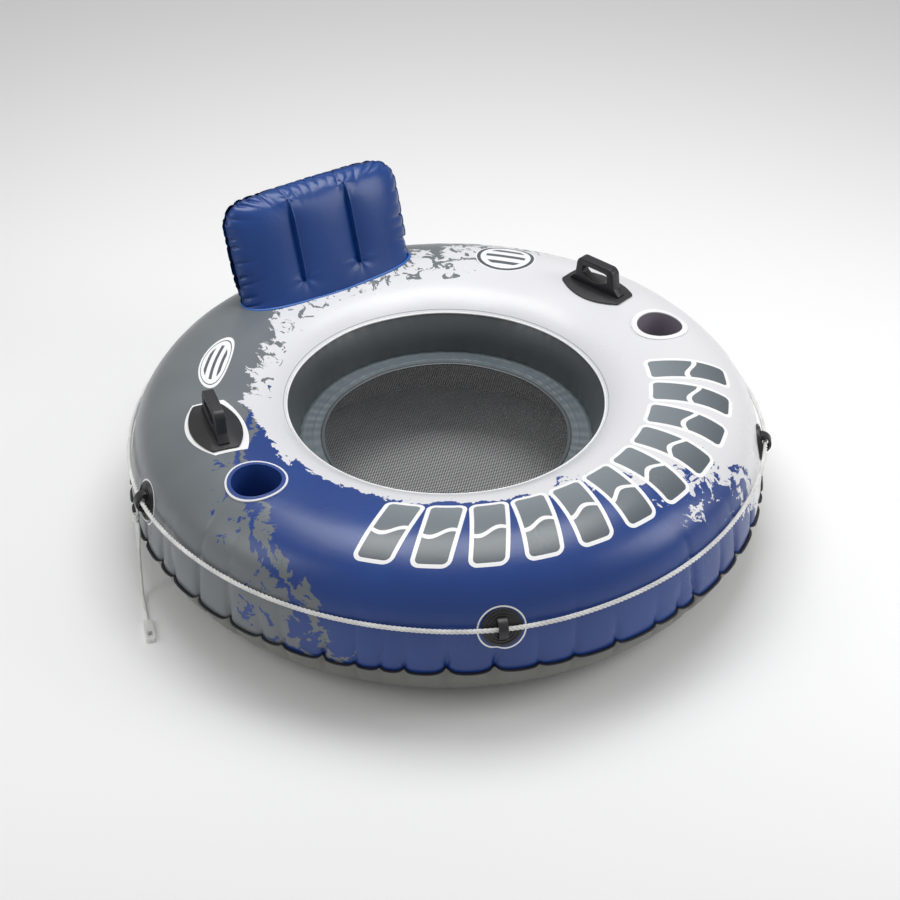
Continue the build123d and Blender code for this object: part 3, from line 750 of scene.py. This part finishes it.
thread = polymer("knitted polyester thread, charcoal", "#3A3A3C", 0.55, 0.6, 0.10, ior=1.57)
net_tree, net_in, net_out, net_ids = geometry_tree("crossed threads", {
    "Radius": MESH_R + 0.001, "Pitch": 0.005, "Thread Width": 0.00125, "Thread Height": 0.0006})
sides = net_in.outputs
net_node = partial(add, net_tree)
across_count = net_node("Math:FLOOR", net_node("Math:DIVIDE", sides["Radius"], sides["Pitch"]))
count = net_node("Math:MULTIPLY_ADD", across_count, 2.0, -1.0)
index = net_node("GeometryNodeInputIndex")
from_middle = net_node("Math:SUBTRACT", index, net_node("Math:SUBTRACT", across_count, 1.0))
offset_y = net_node("Math:MULTIPLY", from_middle, sides["Pitch"])
squared = net_node("Math:SUBTRACT", net_node("Math:MULTIPLY", sides["Radius"], sides["Radius"]),
                   net_node("Math:MULTIPLY", offset_y, offset_y))
chord = net_node("Math:MULTIPLY", net_node("Math:SQRT", squared), 2.0)
points = net_node("GeometryNodePoints", count, net_node("ShaderNodeCombineXYZ", 0.0, offset_y, 0.0))
box = net_node("GeometryNodeMeshCube", (1.0, 1.0, 1.0))
box_scale = net_node("ShaderNodeCombineXYZ", chord, sides["Thread Width"], sides["Thread Height"])
row = net_node("GeometryNodeInstanceOnPoints", points, sockets={"Instance": box, "Scale": box_scale})
drop = net_node("ShaderNodeCombineXYZ", 0.0, 0.0, net_node("Math:MULTIPLY", sides["Thread Height"], -0.8))
first_row = net_node("GeometryNodeTransform", row, sockets={"Rotation": (0, 0, radians(45))})
second_row = net_node("GeometryNodeTransform", row, sockets={
    "Translation": drop, "Rotation": (0, 0, radians(-45))})
both_rows = net_node("GeometryNodeJoinGeometry")
net_tree.links.new(first_row.outputs[0], both_rows.inputs[0])
net_tree.links.new(second_row.outputs[0], both_rows.inputs[0])
lifted = net_node("GeometryNodeTransform", both_rows, sockets={"Translation": (0, 0, BAND_Z + 0.0002)})
plain = net_node("GeometryNodeSetMaterial", net_node("GeometryNodeRealizeInstances", lifted),
                 sockets={"Material": thread})
net_tree.links.new(plain.outputs[0], net_out.inputs[0])
net_seed = mesh_object("net_seed", [(0, 0, 0)], [])
net = baked(net_seed, net_tree, {net_ids["Pitch"]: 0.005}, "seat_mesh_net", thread)
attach(net, "tube")
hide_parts("mesh_floor")
print("net:", len(net.data.polygons), "faces")

# %% [markdown]
# ## The backrest
# Two round-cornered panels are welded face to face round their edge and blown up. Two inner webs hold them
# together along upright lines, so the air makes three channels. A membrane under pressure obeys Poisson's
# equation, so its depth is solved on a small grid: zero at the weld, held low along the webs, and levelling
# off in between. A power of 0.42 of that, a little under its square root, gives the cushion its round
# shoulder. A flat sheet can't curve two ways, so its edge gathers into short creases, and those come from a
# seeded list.

# %% The backrest's depth, solved
LEAN = radians(17.0)
BASE_Y, BASE_Z = 0.498, 0.325
HALF_LOW, HALF_WIDE, WIDE_AT, TOP, CORNER = 0.214, 0.218, 0.150, 0.234, 0.058
WEB_X, WEB_LOW, WEB_HIGH = 0.072, 0.024, 0.212
BOTTOM = -0.030
FRONT_DEPTH, REAR_DEPTH = 0.0625, 0.0485


def half_width(v):
    return HALF_LOW + (HALF_WIDE - HALF_LOW) * np.clip((v + 0.080) / (WIDE_AT + 0.080), 0, 1)


def inside_edge(x, v):
    """Distance in from the weld line, for points of the panel; negative outside it."""
    side_gap = half_width(v) - np.abs(x)
    top_gap = TOP - 0.003 * (x / HALF_WIDE) ** 2 - v
    corner_x, corner_v = CORNER - side_gap, CORNER - top_gap
    rounded = CORNER - np.hypot(np.clip(corner_x, 0, None), np.clip(corner_v, 0, None))
    return np.where((corner_x > 0) & (corner_v > 0), rounded, np.minimum(side_gap, top_gap))


CELL = 0.004
grid_x = np.arange(-0.224, 0.2241, CELL)
grid_v = np.arange(BOTTOM - CELL, 0.2401, CELL)
gx, gv = np.meshgrid(grid_x, grid_v, indexing="ij")
free = inside_edge(gx, gv) > 0
on_web = (np.abs(np.abs(gx) - WEB_X) < 0.6 * CELL) & (gv > WEB_LOW) & (gv < WEB_HIGH)
LEVEL = 0.056
depth = np.where(free, 0.8, 0.0)
for _ in range(1600):
    depth[:, 0] = depth[:, 1]
    beside = np.zeros_like(depth)
    beside[1:-1, 1:-1] = depth[2:, 1:-1] + depth[:-2, 1:-1] + depth[1:-1, 2:] + depth[1:-1, :-2]
    beside[1:-1, 0] = 4 * depth[1:-1, 1]
    depth = np.where(free, (beside + (CELL / LEVEL) ** 2) / (4 + (CELL / LEVEL) ** 2), 0.0)
    depth[on_web] = 0.47
print("backrest depth share, middle of a channel:", round(float(depth[len(grid_x) // 2, 30]), 3))


def sampled(values, x, v):
    """The solved grid between its points."""
    i = np.clip((x - grid_x[0]) / CELL, 0, len(grid_x) - 1.001)
    j = np.clip((v - grid_v[0]) / CELL, 0, len(grid_v) - 1.001)
    i0, j0 = i.astype(int), j.astype(int)
    fi, fj = i - i0, j - j0
    return (values[i0, j0] * (1 - fi) * (1 - fj) + values[i0 + 1, j0] * fi * (1 - fj)
            + values[i0, j0 + 1] * (1 - fi) * fj + values[i0 + 1, j0 + 1] * fi * fj)


# %% [markdown]
# The depth is read between grid points, so it isn't quite zero on the outline, and the two panels stop
# short of each other there. Each panel is a fan of rings from a middle point out to the weld, closer
# together towards it, where the curve is tightest. Near its foot the cushion is bent to follow the ring
# that it is welded to.

# %% The backrest's panels
CORNER_X, CORNER_V = HALF_WIDE - CORNER, TOP - 0.003 - CORNER
walk = [(HALF_LOW + 0.0009, BOTTOM), (float(half_width(0.1)), 0.1), (HALF_WIDE, WIDE_AT),
        (HALF_WIDE, CORNER_V)]
for turn_at in np.linspace(0, 90, 14)[1:]:
    walk.append((CORNER_X + CORNER * cos(radians(turn_at)), CORNER_V + CORNER * sin(radians(turn_at))))
walk += [(x, TOP - 0.003 * (x / HALF_WIDE) ** 2) for x in (0.11, 0.05, 0.0)]
walk = np.array(walk + [(-x, v) for x, v in walk[-2::-1]])
walked = np.r_[0, np.cumsum(np.hypot(*np.diff(walk, axis=0).T))]
perimeter = walked[-1]
EDGE_COUNT = 340
edge_at = np.linspace(0, perimeter, EDGE_COUNT)
foot_x = np.linspace(-HALF_LOW - 0.0009, HALF_LOW + 0.0009, 82)[1:-1]
edge_x = np.r_[np.interp(edge_at, walked, walk[:, 0]), foot_x]
edge_v = np.r_[np.interp(edge_at, walked, walk[:, 1]), np.full(len(foot_x), BOTTOM)]
middle_x, middle_v = 0.0, 0.09

gather_at, along_edge = [], 0.012
while along_edge < perimeter - 0.01:
    gather_at.append(along_edge)
    along_edge += float(rng.uniform(0.015, 0.040))
gather_at = np.array(gather_at)
gather_depth = rng.uniform(3.0, 8.5, len(gather_at)) * MM
gather_width = rng.uniform(2.6, 5.2, len(gather_at)) * MM
gather_reach = rng.uniform(12, 40, len(gather_at)) * MM
gather_x = np.interp(gather_at, walked, walk[:, 0])
gather_v = np.interp(gather_at, walked, walk[:, 1])
toward = np.stack([middle_x - gather_x * 0.55, 0.11 - gather_v], 1)
toward /= np.linalg.norm(toward, axis=1)[:, None]
toward[np.abs(gather_x) > 0.15, 1] *= 0.35
toward /= np.linalg.norm(toward, axis=1)[:, None]


def edge_creases(x, v):
    """How deep the gathers along the weld are at points of the panel."""
    dx, dv = x[..., None] - gather_x, v[..., None] - gather_v
    inwards = dx * toward[:, 0] + dv * toward[:, 1]
    sideways = np.abs(dx * toward[:, 1] - dv * toward[:, 0])
    width = gather_width * (0.7 + 1.1 * np.clip(inwards / gather_reach, 0, 1.5))
    fade = np.exp(-np.clip(inwards, 0, None) ** 2 / gather_reach ** 2)
    return (gather_depth * np.exp(-sideways / width) * fade * (inwards > -0.012)).sum(-1)


def web_puckers(x, v):
    """Small folds that fan out from the ends of the two web welds."""
    total = np.zeros_like(x)
    for side_of in (-1, 1):
        for end_v, out in ((WEB_LOW, -1), (WEB_HIGH, 1)):
            dx, dv = x - side_of * WEB_X, (v - end_v) * out
            distance = np.hypot(dx, dv)
            fan = np.arctan2(dx, np.where(np.abs(dv) < 1e-6, 1e-6, dv))
            total += np.exp(-distance / 0.016) * np.cos(fan * 5) * (dv > -0.01) * 2.2 * MM
            groove = np.exp(-np.abs(dx) / 0.004) * np.exp(-np.clip(dv, 0, None) / 0.010)
            total += 3.0 * MM * groove * (dv > -0.004)
    return total


def ring_height(x, y):
    """The top of the ring's film under a point."""
    r = np.hypot(x, y)
    top = whole[:under_from]
    return np.interp(r, top[:, 0], top[:, 1])


def panel_points(x, v, full_depth, facing):
    """The inflated place of points of a panel; facing is -1 for the front and 1 for the back."""
    share = np.clip(sampled(depth, x, v), 0, 1)
    crease = edge_creases(x, v)
    gap = inside_edge(x, v)
    out = full_depth * share ** 0.42 * (1 - 0.06 * (x / HALF_WIDE) ** 2)
    out = np.maximum(out - (crease * 0.9 + web_puckers(x, v)) * np.clip(gap / 0.004, 0, 1), 0)
    pulled = 0.55 * crease * np.clip(1 - gap / 0.03, 0, 1)
    direction_x, direction_v = -x * 0.55, 0.11 - v
    size = np.hypot(direction_x, direction_v) + 1e-6
    at_side = v < BOTTOM + 0.004
    x = x + np.where(at_side, 0, pulled * direction_x / size)
    v = v + np.where(at_side, 0, pulled * direction_v / size)
    local_y = facing * out
    y = BASE_Y + local_y * cos(LEAN) + v * sin(LEAN)
    z = BASE_Z - local_y * sin(LEAN) + v * cos(LEAN)
    foot = BASE_Z - local_y * sin(LEAN) + BOTTOM * cos(LEAN)
    drop = ring_height(x, y) - 0.004 - foot
    return np.stack([x, y, z + drop * np.exp(-np.clip(z - foot, 0, None) / 0.035)], -1)


RINGS = 46
inward = 1 - (1 - np.linspace(0, 1, RINGS)) ** 1.7
shares = inward[1:]
fan_x = middle_x + (edge_x[None, :] - middle_x) * shares[:, None]
fan_v = middle_v + (edge_v[None, :] - middle_v) * shares[:, None]
vertices, faces = [], []
edge_total = len(edge_x)
for facing, full_depth in ((-1, FRONT_DEPTH), (1, REAR_DEPTH)):
    offset = len(vertices)
    vertices += list(panel_points(np.array([middle_x]), np.array([middle_v]), full_depth, facing))
    vertices += list(panel_points(fan_x, fan_v, full_depth, facing).reshape(-1, 3))
    for k in range(edge_total):
        after = (k + 1) % edge_total
        faces.append((offset, offset + 1 + k, offset + 1 + after))
        for ring_number in range(RINGS - 2):
            a = offset + 1 + ring_number * edge_total
            faces.append((a + k, a + edge_total + k, a + edge_total + after, a + after))
cushion = faces_out(mesh_object("backrest_cushion", vertices, faces, blue_film), merge=0.2 * MM)
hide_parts("backrest_front", "backrest_rear")
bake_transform(cushion)
print("backrest:", len(cushion.data.polygons), "faces,", len(gather_at), "gathers")

# %% [markdown]
# The leftover of the weld stands out from the cushion's edge as a thin dark blue flange, drawn in where the
# edge is gathered. At the foot, a bead of lighter blue film shows where the cushion is welded to the ring.


# %% The backrest's weld flange and foot bead
def strip_mesh(name, rails, material, closed=False):
    """A strip of faces through rows of points, with a closed section."""
    rails = np.array(rails)
    count, sections = rails.shape[0], rails.shape[1]
    faces = []
    for k in range(count if closed else count - 1):
        here, there = k * sections, (k + 1) % count * sections
        faces += [(here + i, here + (i + 1) % sections, there + (i + 1) % sections, there + i)
                  for i in range(sections)]
    if not closed:
        faces += [tuple(range(sections)), tuple(range((count - 1) * sections, count * sections))]
    return faces_out(mesh_object(name, rails.reshape(-1, 3), faces, material))


flange_at = np.linspace(0.002, perimeter - 0.002, 700)
flange_x, flange_v = np.interp(flange_at, walked, walk[:, 0]), np.interp(flange_at, walked, walk[:, 1])
flange_line = panel_points(flange_x * 0.9999, flange_v, FRONT_DEPTH, -1)
tangent = np.gradient(flange_line, axis=0)
tangent /= np.linalg.norm(tangent, axis=1)[:, None]
panel_normal = np.array([0, cos(LEAN), -sin(LEAN)])
outwards = np.cross(tangent, panel_normal)
outwards /= np.linalg.norm(outwards, axis=1)[:, None]
outwards *= np.sign((outwards * (flange_line - flange_line.mean(0))).sum(1))[:, None]
rails = []
for point, out in zip(flange_line, outwards):
    rails.append([point + out * a + panel_normal * b for a, b in (
        (-0.0020, -0.0008), (0.0018, -0.0007), (0.0026, 0.0), (0.0018, 0.0007), (-0.0020, 0.0008))])
back_flange = strip_mesh("backrest_weld_flange", rails, backrest_weld)
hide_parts("backrest_edge")
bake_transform(back_flange)

bead_points = []
for facing, full_depth in ((-1, FRONT_DEPTH), (1, REAR_DEPTH)):
    x = np.linspace(-HALF_LOW, HALF_LOW, 200) * -facing
    bead_points += list(panel_points(x, np.full_like(x, BOTTOM + 0.001), full_depth, facing))
bead_points = np.array(bead_points)
centre = bead_points.mean(0)
away_from_middle = bead_points[:, :2] - centre[:2]
lengths = np.linalg.norm(away_from_middle, axis=1)[:, None]
bead_points[:, :2] += away_from_middle / lengths * 0.0022
bead_points[:, 2] = ring_height(bead_points[:, 0], bead_points[:, 1]) + 0.0012
bead_tangent = np.roll(bead_points, -3, 0) - np.roll(bead_points, 3, 0)
bead_side = np.cross(bead_tangent, (0, 0, 1.0))
bead_side /= np.linalg.norm(bead_side, axis=1)[:, None] + 1e-9
bead_section = ((-5, -1.5), (-1.5, 1.4), (0.3, 1.4), (1.7, -0.4), (3.4, -2.2))
rails = [[point + out * a * MM + np.array([0, 0, b * MM]) for a, b in bead_section]
         for point, out in zip(bead_points, bead_side)]
foot_bead = strip_mesh("backrest_foot_bead", rails, blue_weld, closed=True)
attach(foot_bead, "tube")
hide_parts("backrest_base")

# %% [markdown]
# ## The grab rope
# Three strands of polyolefin, 9.5 mm across, are laid together with one turn in every 28 mm. The rope runs
# right round the ring and stands off it a little where a connector holds it. Its line is a closed NURBS
# curve. Geometry Nodes resample that line, wind three offset copies about it by their distance along it, and
# give each a round section.

# %% The rope's fibre and its strands
rope_fibre = polymer("laid polyolefin rope, white", "#E4E4E2", 0.50, 0.7, 0.16, ior=1.49)
cord_fibre = polymer("braided polyester cord, white", "#E2E2E0", 0.55, 1.1, 0.55, ior=1.57)
rope_line = bpy.data.curves.new("rope_line", "CURVE")
rope_line.dimensions = "3D"
route = []
for start, end in zip(CONNECTORS, CONNECTORS[1:] + (CONNECTORS[0] + 360.0,)):
    for step in range(7):
        share = (step + 0.5) / 7
        stand_off = 11.8 * MM * abs(2 * share - 1) ** 3
        route.append(place(start + (end - start) * share, 0.6725 + stand_off, 0.219))
line = rope_line.splines.new("NURBS")
line.points.add(len(route) - 1)
for point, at in zip(line.points, route):
    point.co = (*at, 1.0)
line.use_cyclic_u = True
line.order_u = 4
line.resolution_u = 12
rope_seed = bpy.data.objects.new("rope_seed", rope_line)
scene.collection.objects.link(rope_seed)

rope_tree, rope_in, rope_out, rope_ids = geometry_tree("laid strands", {
    "Rope Diameter": 0.0095, "Lay": 0.028, "Step": 0.0034})


rope_node = partial(add, rope_tree)
rope_size = rope_in.outputs
evenly = rope_node("GeometryNodeResampleCurve", rope_in.outputs[0], mode="LENGTH",
                   sockets={"Length": rope_size["Step"]})
distance = rope_node("GeometryNodeSplineParameter").outputs["Length"]
across_line = rope_node("GeometryNodeInputNormal")
along_line = rope_node("GeometryNodeInputTangent")
third_way = rope_node("VectorMath:CROSS_PRODUCT", along_line, across_line)
strand_offset = rope_node("Math:MULTIPLY", rope_size["Rope Diameter"], 0.268)
strand_radius = rope_node("Math:MULTIPLY", rope_size["Rope Diameter"], 0.238)
turned_by = rope_node("Math:MULTIPLY", rope_node("Math:DIVIDE", distance, rope_size["Lay"]),
                      2 * pi)
section_of_strand = rope_node("GeometryNodeCurvePrimitiveCircle", sockets={
    "Resolution": 8, "Radius": strand_radius})
all_strands = rope_node("GeometryNodeJoinGeometry")
for strand in range(3):
    phase = rope_node("Math:ADD", turned_by, 2 * pi * strand / 3)
    level_part = rope_node("VectorMath:SCALE", across_line, sockets={
        "Scale": rope_node("Math:MULTIPLY", rope_node("Math:COSINE", phase), strand_offset)})
    upright_part = rope_node("VectorMath:SCALE", third_way, sockets={
        "Scale": rope_node("Math:MULTIPLY", rope_node("Math:SINE", phase), strand_offset)})
    moved = rope_node("GeometryNodeSetPosition", evenly, sockets={
        "Offset": rope_node("VectorMath:ADD", level_part, upright_part)})
    swept = rope_node("GeometryNodeCurveToMesh", moved, sockets={"Profile Curve": section_of_strand})
    rope_tree.links.new(swept.outputs[0], all_strands.inputs[0])
plain_strands = rope_node("GeometryNodeRealizeInstances", all_strands)
smooth_strands = rope_node("GeometryNodeSetShadeSmooth", plain_strands)
finished = rope_node("GeometryNodeSetMaterial", smooth_strands, sockets={"Material": rope_fibre})
rope_tree.links.new(finished.outputs[0], rope_out.inputs[0])
grab_rope = baked(rope_seed, rope_tree, {rope_ids["Lay"]: 0.028}, "grab_rope_strands", rope_fibre)
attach(grab_rope, "tube")
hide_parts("grab_rope")
print("rope:", len(grab_rope.data.polygons), "faces")

# %% [markdown]
# ## The cord's tail
# A thinner braided cord is tied to the first connector. It hangs down the ring's side and comes to rest on
# the ground, with a plastic clip on its end. Its line is a NURBS curve through the route of the CAD model.
# The knot is a hitch: two turns round the cord, and a second strand that lies beside the first below it.

# %% The tail, its hitch and its clip
tail_route = [(-0.681, 0.114, 0.172), (-0.681, 0.114, 0.148), (-0.683, 0.113, 0.121), (-0.684, 0.112, 0.093),
              (-0.687, 0.109, 0.065), (-0.690, 0.104, 0.038), (-0.695, 0.094, 0.017), (-0.703, 0.076, 0.006),
              (-0.711, 0.052, 0.0038), (-0.720, 0.027, 0.0036), (-0.728, 0.004, 0.0036)]


def cord_curve(name, points, radius):
    """A round cord on one open NURBS curve."""
    data = bpy.data.curves.new(name, "CURVE")
    data.dimensions = "3D"
    spline = data.splines.new("NURBS")
    spline.points.add(len(points) - 1)
    for point, at in zip(spline.points, points):
        point.co = (*at, 1.0)
    spline.order_u = 3
    spline.use_endpoint_u = True
    spline.resolution_u = 10
    data.bevel_depth = radius
    data.bevel_resolution = 4
    data.use_fill_caps = True
    data.materials.append(cord_fibre)
    made = bpy.data.objects.new(name, data)
    scene.collection.objects.link(made)
    return made


tail = cord_curve("rope_tail_cord", tail_route, 0.003)
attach(tail, "tube")
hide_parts("rope_tail")

hitch_points = []
knot_low, knot_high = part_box("tail_knot")
knot_middle = (Vector(knot_low) + Vector(knot_high)) / 2
for step in range(40):
    turned = radians(step * 27.0)
    height = -0.0075 + 0.015 * step / 39
    hitch_points.append(knot_middle + Vector((0.0055 * cos(turned), 0.0055 * sin(turned), height)))
hitch_points.append(knot_middle + Vector((0.004, -0.002, 0.018)))
hitch_points.append(knot_middle + Vector((0.007, -0.004, 0.030)))
hitch = cord_curve("tail_hitch", hitch_points, 0.0027)
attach(hitch, "tube")
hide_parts("tail_knot")
second_points = [(-0.6795, 0.1085, 0.170), (-0.6800, 0.1078, 0.150), (-0.6815, 0.1074, 0.132),
                 (-0.6830, 0.1085, 0.116), (-0.6838, 0.1110, 0.104)]
second = cord_curve("tail_second_strand", second_points, 0.0026)
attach(second, "tube")

# %% [markdown]
# ## Moulded fittings
# The handles, the connectors and the clip are injection moulded, so no edge of theirs is sharp. Each starts
# as a copy of its CAD node with its loose triangles merged. Flat faces are made whole, and a bevel rounds
# every edge. Soft black PVC from a spark-eroded mould has a fine, even grain, about 0.8 mm, and a satin
# shine.

# %% Moulded fittings
black_moulding = polymer("moulded soft PVC, black", "#222225", 0.40, 0.8, 0.07, ior=1.53)
clip_plastic = polymer("moulded polypropylene, white", "#E6E6E3", 0.38, 0.9, 0.05, ior=1.49)


def moulded(node, name, radius, material=black_moulding, body="tube"):
    """A CAD node's shape with its edges rounded, as a moulding's are."""
    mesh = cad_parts[node].data.copy()
    piece = bpy.data.objects.new(name, mesh)
    scene.collection.objects.link(piece)
    shell = bmesh.new()
    shell.from_mesh(mesh)
    bmesh.ops.remove_doubles(shell, verts=shell.verts, dist=0.00002)
    bmesh.ops.dissolve_limit(shell, angle_limit=radians(1.5), verts=shell.verts, edges=shell.edges)
    shell.to_mesh(mesh)
    shell.free()
    bevel = piece.modifiers.new("rounded edges", "BEVEL")
    bevel.width, bevel.segments, bevel.limit_method, bevel.angle_limit = radius, 3, "ANGLE", radians(28)
    bevel.harden_normals = False
    view_of_scene = bpy.context.evaluated_depsgraph_get()
    rounded = piece.evaluated_get(view_of_scene)
    finished_mesh = bpy.data.meshes.new_from_object(rounded, depsgraph=view_of_scene)
    piece.modifiers.clear()
    piece.data = finished_mesh
    finished_mesh.materials.clear()
    finished_mesh.materials.append(material)
    finished_mesh.polygons.foreach_set("use_smooth", [True] * len(finished_mesh.polygons))
    finished_mesh.set_sharp_from_angle(angle=radians(40))
    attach(piece, body)
    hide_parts(node)
    return piece


fittings = []
for side_of in ("left", "right"):
    fittings.append(moulded(f"handle_grip_{side_of}", f"grip_{side_of}", 0.0035))
    fittings.append(moulded(f"handle_patch_{side_of}", f"grip_patch_{side_of}", 0.0012))
for number in range(1, 6):
    fittings.append(moulded(f"connector_loop_{number}", f"rope_loop_{number}", 0.0014))
clip = moulded("tail_clip", "tail_clip_moulding", 0.0016, clip_plastic)
finishes = {"connector_disc": black_moulding, "cup_rim_left": rim_left, "cup_rim_right": white_film,
            "cup_pocket_left": cup_blue, "cup_floor_left": cup_blue,
            "cup_pocket_right": cup_mauve, "cup_floor_right": cup_mauve,
            "valve": clip_plastic, "bulkhead": grey_film, "backrest_web": blue_film}
for node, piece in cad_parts.items():
    for start_of_name, material in finishes.items():
        if node.startswith(start_of_name):
            piece.data.materials.clear()
            piece.data.materials.append(material)
print("mouldings:", {piece.name: len(piece.data.polygons) for piece in fittings[:5]})
